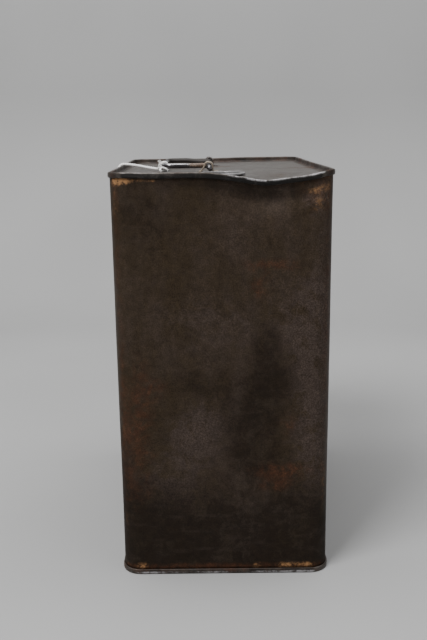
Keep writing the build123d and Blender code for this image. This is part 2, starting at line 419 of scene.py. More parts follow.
def aged_tinplate(
    name, brown, grey, dark, metallic=0.4, gloss=0.0, specular=0.5, soot_and_shade_amount=0.65, flecks=0.0
):
    """Oily old tinplate: brown patina, grey bloom, dark stains and painted shade, fine speckle, rust, scuffs,
    and bare metal that is partly wear and partly painted highlight.
    """
    m = Material(name, Specular_IOR_Level=specular)
    cloudy = m.noise(95, 8, 0.72, 0.6)
    speckle = m.noise(1500, 5, 0.75)
    drift = m.noise(34, 5, 0.65, 0.4, at=m.stretched(1.0, 1.0, 0.4))
    wiped = m.noise(110, 5, 0.6, at=m.stretched(0.4, 0.4, 2.2))
    color = m.mix(m.between(drift, 0.35, 0.68, 0.0, 0.5), brown, grey)
    color = m.mix(m.ragged(m.painted("bloom"), cloudy, 0.8), color, grey)
    # This layer darkens both real stains and painted shade, such as the painted shadow on and under the top
    # seam's front.
    soot = m.painted("soot")
    color = m.mix(m.ragged(soot, cloudy, soot_and_shade_amount), color, dark)
    color = m.shaded(color, m.between(soot, 0.1, 1.0, 1.0, 0.6))
    color = m.mix(m.between(wiped, 0.5, 0.8, 0.0, 0.25), color, grey)
    rust = m.ragged(m.painted("rust"), m.noise(160, 8, 0.78, 0.5))
    rust_color = m.mix(m.between(m.noise(620, 5, 0.75), 0.45, 0.75), RUST_DARK, RUST_BRIGHT)
    color = m.mix(m.times(rust, 0.75), color, rust_color)
    color = m.shaded(color, m.between(speckle, 0.3, 0.7, 0.6, 1.38))
    color = m.shaded(color, m.between(m.noise(260, 4, 0.6), 0.3, 0.7, 0.82, 1.15))
    if flecks:
        fleck = m.between(m.noise(1050, 4, 0.8), 0.36, 0.64, -flecks, flecks)
        color = m.shaded(color, m.sum(m.times(fleck, m.sum(m.painted("bloom"), 0.15)), 1.0))
    scuffed = m.ragged(m.painted("scuff"), m.noise(420, 6, 0.75))
    color = m.mix(m.times(scuffed, 0.85), color, SCUFF_TAN)
    # This layer lays bare tin both where the metal is worn and as painted highlights, such as along the top
    # seam's shoulder.
    bare = m.ragged(m.painted("wear"), m.noise(330, 5, 0.7))
    color = m.mix(bare, color, BARE_TIN_AND_HIGHLIGHT)
    rough = m.between(m.times(cloudy, speckle), 0.12, 0.42, 0.38 - gloss, 0.58 - gloss)
    dull = m.sum(m.sum(rust, scuffed), soot)
    rough = m.sum(rough, m.times(dull, 0.2))
    metal = m.times(m.between(rust, 0.0, 1.0, metallic, 0.05), m.between(soot, 0.2, 0.9, 1.0, 0.1))
    height = m.sum(m.times(speckle, 0.6), m.times(rust, 0.3))
    normal = m.bump(height, 0.1 * MM, 0.4)
    normal = m.bump(m.noise(95, 3, 0.5), 0.3 * MM, 0.2, normal)
    return m.finish(color, rough, metal, normal)


def worn_wire():
    m = Material("bail_steel")
    grime = m.noise(120, 3, 0.5)
    color = m.mix(m.between(grime, 0.35, 0.65), (0.070, 0.066, 0.068), (0.11, 0.105, 0.108))
    rust = m.ragged(m.painted("rust"), m.noise(170, 6, 0.7, 0.4))
    rusty = m.mix(m.between(m.noise(700, 4, 0.7), 0.4, 0.7), (0.085, 0.050, 0.030), (0.22, 0.155, 0.105))
    soot = m.painted("soot")
    color = m.mix(rust, color, rusty)
    # The rear arm is darkened here as painted shade beside the back rim.
    color = m.mix(soot, color, (0.030, 0.025, 0.022))
    # A painted highlight: a pale strip along the top of the front arm.
    color = m.mix(m.painted("wear"), color, (0.46, 0.455, 0.46))
    rough = m.between(grime, 0.3, 0.7, 0.22, 0.27)
    rough = m.sum(rough, m.sum(m.times(rust, 0.35), m.times(soot, 0.45)))
    normal = m.bump(m.times(rust, m.noise(900, 3, 0.6)), 0.04 * MM, 0.3)
    metal = m.times(m.between(rust, 0.0, 1.0, 0.85, 0.1), m.between(soot, 0.0, 1.0, 1.0, 0.1))
    return m.finish(color, rough, metal, normal)


def dull_solder():
    m = Material("solder", metallic=0.5)
    cloudy = m.noise(350, 5, 0.6)
    color = m.mix(m.between(cloudy, 0.35, 0.7), (0.055, 0.048, 0.042), (0.17, 0.16, 0.148))
    normal = m.bump(m.noise(600, 3, 0.6), 0.15 * MM, 0.6)
    return m.finish(color, m.between(cloudy, 0.3, 0.7, 0.5, 0.72), None, normal)


def twisted_cotton():
    m = Material("cotton_string", roughness=0.85, Sheen_Weight=0.4, Sheen_Roughness=0.5)
    fibres = m.noise(2600, 3, 0.6)
    color = m.mix(m.between(fibres, 0.3, 0.7), (0.82, 0.81, 0.79), (0.95, 0.945, 0.94))
    color = m.mix(m.between(m.noise(160, 3, 0.5), 0.6, 0.8, 0.0, 0.3), color, (0.60, 0.56, 0.50))
    return m.finish(color, None, None, m.bump(fibres, 0.05 * MM, 0.6))


def stained_card():
    m = Material("washer_card", roughness=0.8)
    stain = m.noise(400, 4, 0.6)
    color = m.mix(m.between(stain, 0.3, 0.7), (0.16, 0.10, 0.05), (0.42, 0.31, 0.19))
    return m.finish(color, None, None, m.bump(m.noise(1800, 2, 0.5), 0.05 * MM, 0.5))


body_tin = aged_tinplate(
    "body_tin",
    brown=(0.0335, 0.0227, 0.0126),
    grey=(0.057, 0.0415, 0.0345),
    dark=(0.017, 0.0098, 0.0052),
    metallic=0.14,
    specular=0.14,
    flecks=0.34,
)
end_tin = aged_tinplate(
    "end_tin",
    brown=(0.056, 0.045, 0.036),
    grey=(0.094, 0.086, 0.081),
    dark=(0.010, 0.008, 0.0065),
    metallic=0.5,
    gloss=0.06,
    specular=0.3,
    soot_and_shade_amount=1.0,
)
lug_tin = aged_tinplate(
    "lug_tin",
    brown=(0.20, 0.16, 0.115),
    grey=(0.30, 0.255, 0.20),
    dark=(0.06, 0.045, 0.03),
    metallic=0.3,
)
# The plug's tin is made pale as a painted reflection, so that its edges look as bright as the glancing panel
# around them.
closure_tin = aged_tinplate(
    "closure_tin",
    brown=(0.16, 0.155, 0.15),
    grey=(0.24, 0.24, 0.245),
    dark=(0.04, 0.035, 0.03),
    metallic=0.5,
    gloss=0.04,
)
solder = dull_solder()
wire = worn_wire()
cotton = twisted_cotton()
card = stained_card()


# ---- Where the tin is rusted, worn, bloomed, stained and scuffed, and where shade and highlights are painted on it ----
# Each mark on the front face: (layer, strength, x, z, half width, half height), in millimetres,
# x from the middle and z up from the base
FRONT_MARKS = [
    ("rust", 0.6, 25, 179, 17, 4),
    ("rust", 0.5, 20, 167, 7, 7),
    ("rust", 0.6, 36, 90, 6, 6),
    ("rust", 0.8, 33, 63, 17, 5),
    ("rust", 0.6, 28, 54, 11, 4),
    ("rust", 0.35, -45, 115, 7, 24),
    ("rust", 0.55, -47, 84, 10, 26),
    ("rust", 0.3, -50, 52, 9, 18),
    ("rust", 0.5, -35, 111, 6, 5),
    ("rust", 0.5, 48, 215, 8, 7),
    ("rust", 0.5, 0, 3, 60, 3),
    ("bloom", 0.9, 49, 214, 7, 8),
    ("bloom", 0.9, 46, 112, 11, 32),
    ("bloom", 0.6, 43, 150, 15, 22),
    ("bloom", 0.8, 55, 162, 9, 36),
    ("bloom", 0.8, 49, 65, 11, 30),
    ("bloom", 0.9, -12, 88, 17, 17),
    ("bloom", 0.7, -28, 55, 22, 24),
    ("bloom", 0.45, -4, 148, 40, 22),
    ("bloom", 0.3, 4, 196, 44, 18),
    ("soot", 0.6, 24, 137, 8, 12),
    ("soot", 0.75, 25, 116, 16, 17),
    ("soot", 0.5, -13, 115, 17, 10),
    ("soot", 0.62, 14, 92, 20, 17),
    ("soot", 0.5, 17, 70, 18, 11),
    ("soot", 1.4, 8, 8, 80, 42),
    ("soot", 0.45, -42, 205, 28, 26),
    ("soot", 0.45, -57, 70, 7, 45),
    ("soot", 0.6, -48, 20, 20, 34),
    ("soot", 0.5, 48, 20, 20, 34),
    # These two are painted shadow on the wall just under the top seam, deepest where the knocked rim
    # overhangs it.
    ("soot", 0.95, 22, 219, 26, 5),
    ("soot", 0.5, -14, 222, 30, 3),
    ("scuff", 1.4, -52, 222.4, 4.2, 1.7),
    ("scuff", 0.45, -43, 223, 3.0, 1.1),
    ("scuff", 0.4, -36, 223, 2.4, 1.0),
    ("scuff", 0.4, 49, 218.5, 6, 2.2),
    ("scuff", 0.34, 49.5, 211, 3.4, 4.2),
    ("scuff", 0.75, -48, 5.2, 3.6, 1.6),
    ("scuff", 0.65, 34, 4.8, 5, 1.3),
    ("scuff", 0.75, 45, 4.8, 5.5, 1.4),
    ("scuff", 0.55, 18, 4.4, 3.5, 1.0),
]
LAYERS = ("wear", "rust", "bloom", "soot", "scuff")


def front_marks(point):
    """The layers on the front face."""
    found = dict.fromkeys(LAYERS, 0.0)
    for layer, strength, x, z, half_x, half_z in FRONT_MARKS:
        found[layer] += strength * hump(point[0] / MM - x, half_x) * hump(point[2] / MM - z, half_z)
    return found


def paint(obj, values):
    """Stores each layer, from 0 to 1, at a mesh's points. values(point) gives the layers."""
    rows = [values(v.co) for v in obj.data.vertices]
    for name in LAYERS:
        attribute = obj.data.attributes.new(name, "FLOAT", "POINT")
        attribute.data.foreach_set("value", [min(1.0, max(0.0, row.get(name, 0.0))) for row in rows])


def wall_marks(point):
    x, y, z = point
    corner = smooth_step(HALF_X - 8 * MM, HALF_X - 2 * MM, abs(x)) * smooth_step(
        HALF_Y - 8 * MM, HALF_Y - 2 * MM, abs(y)
    )
    if y < -HALF_Y + 10 * MM:
        found = front_marks(point)
    else:
        patch = wobble(point, 17, 11)
        uneven = 0.5 + 0.5 * wobble(point, 90, 15)
        found = {
            "bloom": 0.9 * smooth_step(0.0, 0.45, patch),
            "soot": 0.9 * smooth_step(0.1, 0.5, -patch) + 0.4 * smooth_step(60 * MM, 10 * MM, z),
            "rust": 1.1 * uneven * smooth_step(0.15, 0.6, wobble(point, 26, 12)),
            "scuff": 0.5 * uneven * smooth_step(0.35, 0.75, wobble((x * 1.7, y * 1.7, z), 34, 13)),
        }
    found["rust"] += 0.4 * corner * smooth_step(10 * MM, 110 * MM, z)
    found["rust"] += 0.5 * smooth_step(8 * MM, 3 * MM, z) + 0.3 * smooth_step(-10 * MM, 0, z - HEIGHT)
    found["scuff"] += 0.22 * corner * smooth_step(-0.2, 0.5, wobble(point, 55, 14))
    return found


# Bright spots on the panel in front of the bail, partly worn metal and partly painted glints: (x, y, half
# width, half depth) in millimetres
PANEL_FLECKS = [
    (0.5, -19, 1.4, 7),
    (1.5, -43, 0.9, 4),
    (7, -25, 3.0, 5),
    (12, -20, 2.4, 4),
    (-2, -46, 1.0, 3),
]


def end_marks(point):
    """The end plates: darkened outer walls, which on the top's front are painted shade, a shoulder bright
    partly from wear and partly as a painted highlight, rust and darkening in the recess, bloom on the panel,
    and bright spots on the panel that are partly wear and partly painted glints.
    """
    x, y, z = point
    outside = max(abs(x) - HALF_X, abs(y) - HALF_Y)
    wall = smooth_step(0.4 * MM, 0.9 * MM, outside)
    rusty = 0.5 * smooth_step(0.15, 0.5, wobble(point, 34, 16))
    if z < HEIGHT / 2:
        line = wall * smooth_step(2.2 * MM, 1.4 * MM, z) * smooth_step(0.2 * MM, 0.6 * MM, z)
        strength = 0.4 + 0.5 * smooth_step(20 * MM, 55 * MM, x) + 0.3 * wobble(point, 45, 17)
        return {"wear": line * strength, "rust": 0.3 + rusty, "soot": 0.6 * wall, "bloom": 0.3}
    down = HEIGHT - z
    shoulder = smooth_step(-0.4 * MM, 0.3 * MM, outside) * smooth_step(1.1 * MM, 0.5 * MM, down)
    # On the front, the bright shoulder is partly wear and partly a painted highlight, strongest at the
    # knock's fold and on the right, and the wall below it is darkened fully as painted shade.
    if y < -HALF_Y + 5 * MM:
        strength = 0.24 + 0.5 * hump(x - 15 * MM, 10 * MM)
        strength += 0.3 * smooth_step(6 * MM, 30 * MM, x) + 0.25 * smooth_step(46 * MM, 54 * MM, x)
        dark = 1.0
    else:
        strength = 0.3 + 0.5 * smooth_step(-0.1, 0.5, wobble(point, 30, 18))
        dark = 0.6
    in_recess = smooth_step(-5 * MM, -1.5 * MM, outside) * smooth_step(-0.2 * MM, -0.8 * MM, outside)
    panel = smooth_step(-1.5 * MM, -4 * MM, outside)
    near = smooth_step(-30 * MM, -70 * MM, y) * smooth_step(30 * MM, 0, x) + 0.4
    fleck = 0.0
    for fx, fy, half_x, half_y in PANEL_FLECKS:
        fleck += hump(x / MM - fx, half_x) * hump(y / MM - fy, half_y)
    return {
        "wear": shoulder * strength + 0.7 * fleck * panel,
        "rust": 0.4 * in_recess + rusty,
        "bloom": panel * near,
        "soot": 0.6 * in_recess + dark * wall * smooth_step(0.3 * MM, 0.9 * MM, down),
    }


def plain_marks(point):
    return {"wear": 0.35 * smooth_step(0.2, 0.6, wobble(point, 190, 21)), "rust": 0.25, "bloom": 0.6}


def plug_marks(point):
    """The plug: its flange's edge is bright in places, partly knocked bright by whatever prised it out and
    partly painted glints.
    """
    found = plain_marks(point)
    off_axis = math.hypot(point[0] - NECK_X, point[1] - NECK_Y)
    found["wear"] += 0.75 * smooth_step(12.1 * MM, 12.6 * MM, off_axis)
    return found


def wire_marks(point):
    """The bail: brown rust where the front arm nears its lug, a painted highlight along the front arm's top,
    and the rear arm darkened as painted shade.
    """
    x, y, z = point
    on_front_arm = smooth_step(0, -10 * MM, y)
    near_lug = smooth_step(-21 * MM, -16 * MM, x) * smooth_step(-7.5 * MM, -10 * MM, x)
    on_top = smooth_step(0.5 * MM, 1.2 * MM, z - AXIS_Z)
    return {
        "wear": 0.9 * on_top * smooth_step(-17 * MM, -22 * MM, x) * on_front_arm,
        "rust": 0.8 * near_lug * on_front_arm + 0.5 * smooth_step(0.2, 0.5, wobble(point, 60, 23)),
        "soot": smooth_step(8 * MM, 24 * MM, y),
    }


# ---- Body ----
PLAN_STEP = 1.9 * MM
plan = plan_points(PLAN_STEP)


def make_body():
    """The sleeve, as one skin with the sheet's thickness."""
    shape = Shape()
    low, high = 1.6 * MM, HEIGHT - 1.6 * MM
    levels, z = [], low
    while z < high:
        levels.append(z)
        near_top = smooth_step(HEIGHT - 60 * MM, HEIGHT - 35 * MM, z)
        z += (3.0 - 1.7 * near_top) * MM
    levels.append(high)
    shape.grid([[(x, y, z) for x, y, _, _ in plan] for z in levels], closed_columns=True)
    body = shape.make("tin_body", body_tin)
    paint(body, wall_marks)
    age(body)
    modifier(body, "SOLIDIFY", thickness=SHEET, offset=-1.0)
    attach(body, "tin")
    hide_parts("body_sheet")


# Each (outward from the wall, down from the seam's top), in millimetres, from the panel to the tuck
SEAM_PROFILE = [
    (-3.0, 3.0),
    (-2.0, 3.0),
    (-1.45, 2.93),
    (-1.0, 2.68),
    (-0.76, 2.3),
    (-0.69, 1.7),
    (-0.66, 1.0),
    (-0.60, 0.48),
    (-0.42, 0.17),
    (-0.12, 0.02),
    (0.25, 0.0),
    (0.62, 0.1),
    (0.88, 0.33),
    (1.0, 0.75),
    (1.02, 1.4),
    (1.0, 2.2),
    (0.9, 2.7),
    (0.66, 2.98),
    (0.36, 3.0),
    (0.14, 2.86),
    (0.04, 2.6),
]


def end_point(x, y, nx, ny, out, down, at_top):
    z = HEIGHT - down if at_top else down
    return (x + nx * out, y + ny * out, z)


def make_end(name, at_top):
    """A recessed panel and its double seam, as one skin, worked from rings between the seam and a spine."""
    shape = Shape()
    rows = []
    for out, down in reversed(SEAM_PROFILE):
        rows.append([end_point(*p, out * MM, down * MM, at_top) for p in plan])
    edge = rows[-1]
    spine = HALF_Y - HALF_X
    rings = 34
    for k in range(1, rings + 1):
        t = k / rings
        ring = []
        for x, y, z in edge:
            sy = min(spine, max(-spine, y))
            ring.append((x * (1 - t), y + (sy - y) * t, z))
        rows.append(ring)
    shape.grid(rows, closed_columns=True)
    end = shape.make(name, end_tin, merge=2e-5)
    if at_top:
        cut_neck_hole(end)
    paint(end, end_marks)
    age(end)
    modifier(end, "SOLIDIFY", thickness=SHEET * 0.9, offset=-1.0)
    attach(end, "tin")
    return end


def cut_neck_hole(end):
    """The hole that the neck passes through; the neck's flange covers its edge."""
    hole, loose, near = 11.6 * MM, 11.9 * MM, 17 * MM
    work = bmesh.new()
    work.from_mesh(end.data)

    def off_axis(v):
        return math.hypot(v.co.x - NECK_X, v.co.y - NECK_Y)

    inside = []
    for face in work.faces:
        if face.calc_center_median().z > HEIGHT / 2 and min(map(off_axis, face.verts)) < loose:
            inside.append(face)
    bmesh.ops.delete(work, geom=inside, context="FACES")
    for edge in work.edges:
        if edge.is_boundary:
            for v in edge.verts:
                if off_axis(v) < near:
                    scale = hole / max(off_axis(v), 1e-6)
                    v.co.x = NECK_X + (v.co.x - NECK_X) * scale
                    v.co.y = NECK_Y + (v.co.y - NECK_Y) * scale
    work.to_mesh(end.data)
    work.free()


def make_side_seam():
    """The solder line down the middle of the back, a little uneven."""
    shape = Shape()
    low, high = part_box("side_seam_solder")
    x = (low[0] + high[0]) / 2
    rows, count = [], 150
    for k in range(count + 1):
        z = low[2] + (high[2] - low[2]) * k / count
        half = (1.0 + 0.35 * wobble((0, 0, z), 90, 31)) * MM
        _, wall, _ = aged((x, HALF_Y, z))
        proud = (0.16 + 0.07 * wobble((0, 0, z), 140, 32)) * MM
        row = []
        for j in range(7):
            u = -1 + j / 3
            row.append((x + u * half, wall - 0.05 * MM + proud * (1 - u * u), z))
        row += [(x + half, wall - 0.25 * MM, z), (x - half, wall - 0.25 * MM, z)]
        rows.append(row)
    shape.grid(rows, closed_columns=True)
    shape.cap(rows[0])
    shape.cap(rows[-1], flip=True)
    seam = shape.make("side_seam", solder)
    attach(seam, "tin")
    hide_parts("side_seam_solder")


# ---- Filler ----
SEGMENTS = 96  # round the filler's axis


def lathe(name, profile, material):
    """A round piece on the filler's axis, from (radius, height above the panel) in millimetres."""
    shape = Shape()
    rows = []
    for r, up in profile:
        ring = []
        for k in range(SEGMENTS):
            a = 2 * math.pi * k / SEGMENTS
            ring.append((NECK_X + r * MM * math.cos(a), NECK_Y + r * MM * math.sin(a), PANEL_Z + up * MM))
        rows.append(ring)
    shape.grid(rows, closed_columns=True)
    return shape.make(name, material, merge=1e-5)


# Outlines as (radius, height above the panel), in millimetres
NECK_OUTLINE = [
    # the sleeve's outside and the flange
    (11.0, -9.0), (11.3, -9.0), (11.3, -0.1), (11.5, 0.02),
    (13.3, 0.02), (13.48, 0.1), (13.5, 0.22), (13.4, 0.3),
    # the rolled lip
    (11.75, 0.32), (11.42, 0.45), (11.35, 0.7), (11.5, 0.88), (11.75, 0.84), (11.96, 0.9),
    (12.02, 1.04), (11.9, 1.17), (11.6, 1.21), (11.15, 1.14), (11.02, 0.95),
    # the bore
    (11.0, 0.4), (11.0, -9.0),
]
PLUG_OUTLINE = [
    # the underside and the skirt's outside
    (0, -2.6), (10.5, -2.6), (10.82, -2.5), (10.92, -2.2), (10.92, 1.3), (11.05, 1.55),
    # the flange, turned down at its edge
    (11.3, 1.66), (12.4, 1.66), (12.68, 1.55), (12.74, 1.3), (12.74, 1.02), (12.86, 0.99),
    (12.98, 1.04), (13.0, 1.35), (12.96, 1.7), (12.78, 1.9), (12.5, 1.95), (11.1, 1.95),
    # the dish, with a raised ring in its floor
    (10.82, 1.88), (10.68, 1.7), (10.62, 1.4), (10.62, -2.0), (10.5, -2.24), (10.2, -2.3),
    (8.6, -2.3), (8.2, -2.18), (7.9, -1.9), (7.6, -1.72), (7.1, -1.66), (6.6, -1.72),
    (6.3, -1.9), (6.0, -2.12), (5.6, -2.2), (0, -2.2),
]
WASHER_OUTLINE = [
    (11.06, 1.24), (11.9, 1.24), (12.0, 1.32), (12.0, 1.56), (11.9, 1.62), (11.06, 1.62), (11.06, 1.24),
]
FLANGE_R = 13.5 * MM  # of the neck
# The solder's outline as (outward from the flange's edge, height above the panel)
RING_OUTLINE = [
    (-0.3, 0.0), (-0.3, 0.36), (0.1, 0.34), (0.45, 0.2), (1.0, 0.03), (1.05, -0.1), (0.2, -0.12),
]


def make_filler():
    neck = lathe("filler_neck_shell", NECK_OUTLINE, end_tin)
    paint(neck, plain_marks)
    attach(neck, "tin")
    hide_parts("filler_neck")

    plug = lathe("filler_plug_shell", PLUG_OUTLINE, closure_tin)
    paint(plug, plug_marks)
    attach(plug, "plug")
    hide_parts("filler_plug")

    washer = lathe("plug_washer", WASHER_OUTLINE, card)
    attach(washer, "plug")
    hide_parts("plug_liner")


def make_neck_solder():
    """A ring of solder round the neck's flange, of uneven width."""
    shape = Shape()
    rows = []
    for k in range(SEGMENTS):
        a = 2 * math.pi * k / SEGMENTS
        direction = Vector((math.cos(a), math.sin(a), 0))
        spread = (0.8 + 0.35 * wobble(direction * 13 * MM, 160, 41)) * MM
        ring = []
        for out, up in RING_OUTLINE:
            r = FLANGE_R + (out * spread if out > 0 else out * MM)
            ring.append((NECK_X + direction.x * r, NECK_Y + direction.y * r, PANEL_Z + up * MM))
        rows.append(ring)
    shape.grid(rows, closed_rows=True, closed_columns=True)
    ring = shape.make("neck_solder_ring", solder)
    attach(ring, "tin")
    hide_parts("neck_solder")


# ---- Bail and lugs ----
LUG_SHEET = 0.8 * MM
FOOT_CORNER = 1.6 * MM


def lug_sizes(node):
    """The middle of a lug along the tin, half its width, and how far its feet reach."""
    low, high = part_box(node)
    return (low[1] + high[1]) / 2, (high[1] - low[1]) / 2, (high[0] - low[0]) / 2


def make_lug(node, tin):
    """A strap of doubled sheet bent over the wire, with rounded feet."""
    middle_y, half, foot = lug_sizes(node)
    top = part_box(node)[1][2] - LUG_SHEET / 2
    centre_r = top - AXIS_Z
    under = PANEL_Z + LUG_SHEET / 2
    path = rounded_path(
        [
            (AXIS_X - foot, 0, under),
            (AXIS_X - foot + 1.2 * MM, 0, under),
            (AXIS_X - centre_r - 0.3 * MM, 0, AXIS_Z),
            (AXIS_X - centre_r + 0.7 * MM, 0, top),
            (AXIS_X + centre_r, 0, top),
            (AXIS_X + centre_r, 0, under),
            (AXIS_X + foot, 0, under),
        ],
        [0.7 * MM, 1.2 * MM, 1.3 * MM, centre_r * 0.98, 0.9 * MM],
        0.25 * MM,
    )
    shape = Shape()
    rows = []
    for p in path:
        into = max(0.0, FOOT_CORNER - (foot - abs(p.x - AXIS_X)))
        cut = FOOT_CORNER - math.sqrt(max(0, FOOT_CORNER**2 - into**2))
        rows.append([(p.x, middle_y + (half - cut) * (-1 + j / 6), p.z) for j in range(13)])
    shape.grid(rows)
    lug = shape.make(f"{node}_strap", tin)
    paint(lug, plain_marks)
    modifier(lug, "SOLIDIFY", thickness=LUG_SHEET, offset=0.0)
    modifier(lug, "BEVEL", width=0.16 * MM, segments=2, limit_method="ANGLE")
    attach(lug, "tin")
    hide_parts(node)


def make_lug_solder(node):
    """A low blob of solder over the end of each of a lug's feet."""
    middle_y, half, foot = lug_sizes(node)
    shape = Shape()
    for side in (-1, 1):
        centre = Vector((AXIS_X + side * (foot - 0.4 * MM), middle_y, PANEL_Z))
        rows = []
        for ring in range(7):
            t = ring / 6
            row = []
            for k in range(48):
                a = 2 * math.pi * k / 48
                across, along = math.cos(a), math.sin(a)
                lump = 1 + 0.16 * wobble((across * 3 * MM, along * 3 * MM + centre.y, side), 260, 51)
                squared = math.copysign(abs(along) ** 0.6, along)
                x = centre.x + across * 2.1 * MM * t * lump
                y = centre.y + squared * (half + 0.5 * MM) * t * lump
                up = (0.85 * (1 - t**3) - 0.05) * MM
                row.append((x, y, PANEL_Z + up))
            rows.append(row)
        rows.append([(x, y, PANEL_Z - 0.15 * MM) for x, y, _ in rows[-1]])
        shape.grid(rows, closed_columns=True)
        shape.cap(rows[-1])
    blob = shape.make(f"{node}_solder_blob", solder, merge=1e-5)
    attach(blob, "tin")
    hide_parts(f"{node}_solder")


def make_bail():
    """One bent wire, with flattened and cranked tips outside the lugs, and a slightly tired grip."""
    grip_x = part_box("bail_wire")[0][0] + WIRE_R
    front_y, rear_y = lug_sizes("front_lug")[0], lug_sizes("rear_lug")[0]
    inset, start = 8.0 * MM, 6.7 * MM
    tip = (AXIS_X + 1.2 * MM, AXIS_Z - 1.95 * MM)
    end = 8.3 * MM
    path = rounded_path(
        [
            (tip[0], front_y - end, tip[1]),
            (AXIS_X, front_y - start, AXIS_Z),
            (AXIS_X, front_y + inset, AXIS_Z),
            (grip_x, front_y + inset, AXIS_Z),
            (grip_x, rear_y - inset, AXIS_Z),
            (AXIS_X, rear_y - inset, AXIS_Z),
            (AXIS_X, rear_y + start, AXIS_Z),
            (tip[0], rear_y + end, tip[1]),
        ],
        [2.0 * MM, 3.0 * MM, 5.0 * MM, 5.0 * MM, 3.0 * MM, 2.0 * MM],
        0.7 * MM,
    )
    tired = []
    for p in path:
        free = smooth_step(4 * MM, 16 * MM, AXIS_X - p.x)
        bend = 0.35 * wobble((p.x, p.y, 0), 35, 61) * free * MM
        raised = 0.9 * MM * free * smooth_step(0, 26 * MM, p.y)
        tired.append(p + Vector((bend, 0, 0.6 * bend + raised)))
    count = len(tired)
    radii, flat = [], []
    for k in range(count):
        near = min(k, count - 1 - k) / 3
        radii.append(WIRE_R * (0.72 + 0.28 * min(1, near)))
        flat.append(0.85 + 0.15 * min(1, near))
    shape = Shape()
    add_tube(shape, tired, radii, 20, squeeze=flat)
    bail = shape.make("bail_wire_bent", wire)
    paint(bail, wire_marks)
    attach(bail, "bail")
    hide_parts("bail_wire")


# ---- String ----
STRING_D = 1.5 * MM
STRANDS = 3
TWIST = 260  # turns per metre
# The string's route in millimetres, z counted from the top of the seam: off the knot, over the rim, down
STRING_ROUTE = [
    (-37.9, -14.0, -1.7),
    (-43.0, -13.8, -1.0),
    (-49.5, -13.8, 0.4),
    (-55.5, -14.0, 1.3),
    (-60.6, -14.2, 1.5),
    (-62.4, -14.6, -3.4),
    (-61.2, -14.3, -14.0),
    (-60.9, -13.7, -36.0),
    (-61.3, -14.4, -64.0),
    (-61.9, -15.1, -91.0),
    (-62.6, -14.6, -120.5),
]


def spline_points(name, route):
    """Points along the smooth line that has the route's points as its control points."""
    curve = bpy.data.curves.new(name, "CURVE")
    curve.dimensions = "3D"
    spline = curve.splines.new("NURBS")
    spline.points.add(len(route) - 1)
    for point, (x, y, z) in zip(spline.points, route):
        point.co = (x * MM, y * MM, HEIGHT + z * MM, 1)
    spline.order_u = 3
    spline.use_endpoint_u = True
    spline.resolution_u = 24
    bare = bpy.data.objects.new(name, curve)
    mesh = bpy.data.meshes.new_from_object(bare)
    found = [v.co.copy() for v in mesh.vertices]
    bpy.data.meshes.remove(mesh)
    bpy.data.objects.remove(bare)
    bpy.data.curves.remove(curve)
    return found


def resampled(path, step):
    """A path's points again, step apart."""
    lengths = [0.0]
    for a, b in zip(path, path[1:]):
        lengths.append(lengths[-1] + (b - a).length)
    count = max(2, round(lengths[-1] / step))
    found, i = [], 0
    for k in range(count + 1):
        want = lengths[-1] * k / count
        while i < len(path) - 2 and lengths[i + 1] < want:
            i += 1
        span = max(lengths[i + 1] - lengths[i], 1e-9)
        found.append(path[i].lerp(path[i + 1], min(1.0, (want - lengths[i]) / span)))
    return found


def add_rope(shape, path, diameter):
    """Twisted strands along a path."""
    path = resampled(path, 0.28 * MM)
    frames = frames_along(path)
    strand_r, helix_r = diameter * 0.29, diameter * 0.26
    for strand in range(STRANDS):
        line, radii, gone = [], [], 0.0
        for k, (point, (side, up)) in enumerate(zip(path, frames)):
            if k:
                gone += (point - path[k - 1]).length
            a = 2 * math.pi * (strand / STRANDS + gone * TWIST)
            swell = 1 + 0.08 * wobble((gone, strand, 0), 900, 71)
            line.append(point + (side * math.cos(a) + up * math.sin(a)) * helix_r)
            radii.append(strand_r * swell)
        add_tube(shape, line, radii, 7)


def trefoil():
    """The points of a knotted loop: two coordinates across it, and the third through it."""
    found = []
    for k in range(49):
        a = 2 * math.pi * k / 48
        found.append((math.sin(a) + 2 * math.sin(2 * a), math.cos(a) - 2 * math.cos(2 * a), -math.sin(3 * a)))
    return found


def add_fray(shape, at, direction, count, length, seed):
    """Loose fibres that spread from a cut end."""
    direction = direction.normalized()
    side = direction.orthogonal().normalized()
    up = direction.cross(side)
    for k in range(count):
        a = 2.4 * k + seed
        spread = 0.25 + 0.35 * abs(math.sin(5.1 * k + seed))
        out = side * math.cos(a) + up * math.sin(a)
        points = []
        for j in range(5):
            t = j / 4
            points.append(at + direction * length * t + out * (0.35 * MM + length * spread * t * t))
        add_tube(shape, points, [0.11 * MM * (1 - 0.6 * j / 4) for j in range(5)], 5)


def make_string():
    path = resampled(spline_points("string_line", STRING_ROUTE), 0.5 * MM)
    shape = Shape()
    add_rope(shape, path, STRING_D)
    string = shape.make("string_run", cotton)
    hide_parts("hanging_string")

    end = path[-1]
    down = (path[-1] - path[-3]).normalized()
    side = down.orthogonal().normalized()
    other = down.cross(side)
    loop = []
    for p, q, r in trefoil():
        across = side * p * 0.42 * MM
        loop.append(end + down * (1.7 * MM + r * 0.8 * MM) + across + other * q * 0.42 * MM)
    shape = Shape()
    add_rope(shape, loop, STRING_D * 0.86)
    tail = [end + down * (0.4 + 0.42 * k) * MM + side * 0.12 * MM * k for k in range(9)]
    add_rope(shape, tail, STRING_D * 0.9)
    add_fray(shape, tail[-1], down + side * 0.3, 9, 2.2 * MM, 1.0)
    knot = shape.make("string_knot_end", cotton)
    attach(knot, "tin")
    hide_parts("string_end_knot")

    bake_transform(string)
    start_knot = make_bail_knot()


